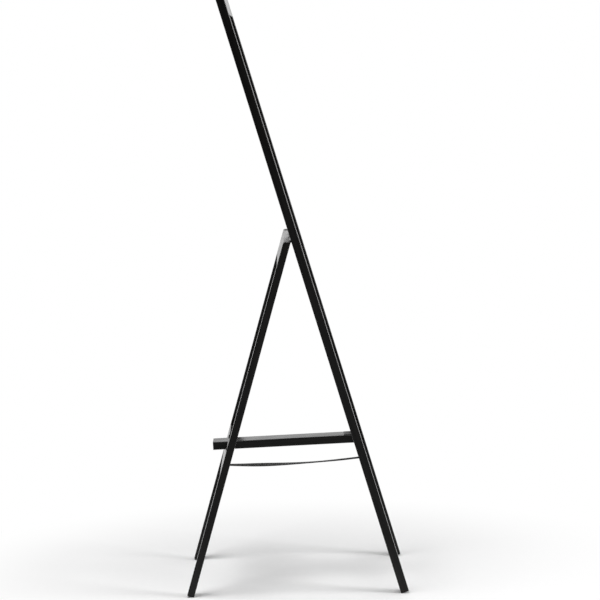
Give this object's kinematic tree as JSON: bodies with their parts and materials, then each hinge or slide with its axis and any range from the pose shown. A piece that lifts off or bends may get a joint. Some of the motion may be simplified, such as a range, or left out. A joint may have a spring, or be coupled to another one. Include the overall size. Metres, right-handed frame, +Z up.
{
  "type": "folding wooden easel",
  "caption": "Free-standing folding easel of black painted wood: a tall leaning front frame, a hinged rear frame, a flat strut notched over the rear rail and a limit strap under it",
  "frame": {"origin": "on the floor, in the middle of the width and halfway between the lines where the front and rear feet touch", "axes": "+Z up, front of the easel faces -Y, X runs across the width"},
  "size_m": [0.48, 0.5953, 1.6194],
  "materials": {
    "black_paint": "semi-gloss black paint over wood, a faint grain showing through",
    "bare_wood": "bare hardwood dowel",
    "hinge_steel": "black coated steel, satin",
    "webbing": "flat woven black tape"
  },
  "bodies": {
    "front_frame": {"frame_hinge_front_leaf_left": "hinge_steel", "frame_hinge_front_leaf_right": "hinge_steel", "frame_hinge_front_screws": "hinge_steel", "frame_hinge_pin_left": "hinge_steel", "frame_hinge_pin_right": "hinge_steel", "front_leg_left": "black_paint", "front_leg_right": "black_paint", "front_lower_dowels": "bare_wood", "front_lower_rail": "black_paint", "front_top_dowels": "bare_wood", "front_top_rail": "black_paint", "limit_strap": "webbing", "strap_front_screw": "hinge_steel", "strap_front_washer": "hinge_steel", "strut_hinge_pin": "hinge_steel", "strut_hinge_rail_leaf": "hinge_steel", "strut_hinge_rail_screws": "hinge_steel"},
    "rear_frame": {"frame_hinge_rear_leaf_left": "hinge_steel", "frame_hinge_rear_leaf_right": "hinge_steel", "frame_hinge_rear_screws": "hinge_steel", "rear_leg_left": "black_paint", "rear_leg_right": "black_paint", "rear_lower_dowels": "bare_wood", "rear_lower_rail": "black_paint", "rear_top_dowels": "bare_wood", "rear_top_rail": "black_paint", "strap_rear_screw": "hinge_steel", "strap_rear_washer": "hinge_steel"},
    "strut": {"strut": "black_paint", "strut_hinge_strut_leaf": "hinge_steel", "strut_hinge_strut_screws": "hinge_steel"}
  },
  "joints": [
    {"name": "rear_fold", "type": "hinge", "parent": "front_frame", "child": "rear_frame", "pos_m": [0, 0.00045, 0.95288], "axis": [-1, 0, 0], "range_deg": [0, 32.5], "deforming": ["limit_strap"]},
    {"name": "strut_lift", "type": "hinge", "parent": "front_frame", "child": "strut", "pos_m": [0, -0.16084, 0.40057], "axis": [1, 0, 0], "range_deg": [0, 75.73]}
  ],
  "couplings": [
    {"joint": "strut_lift", "follows": "rear_fold", "ratio": 2.33}
  ]
}
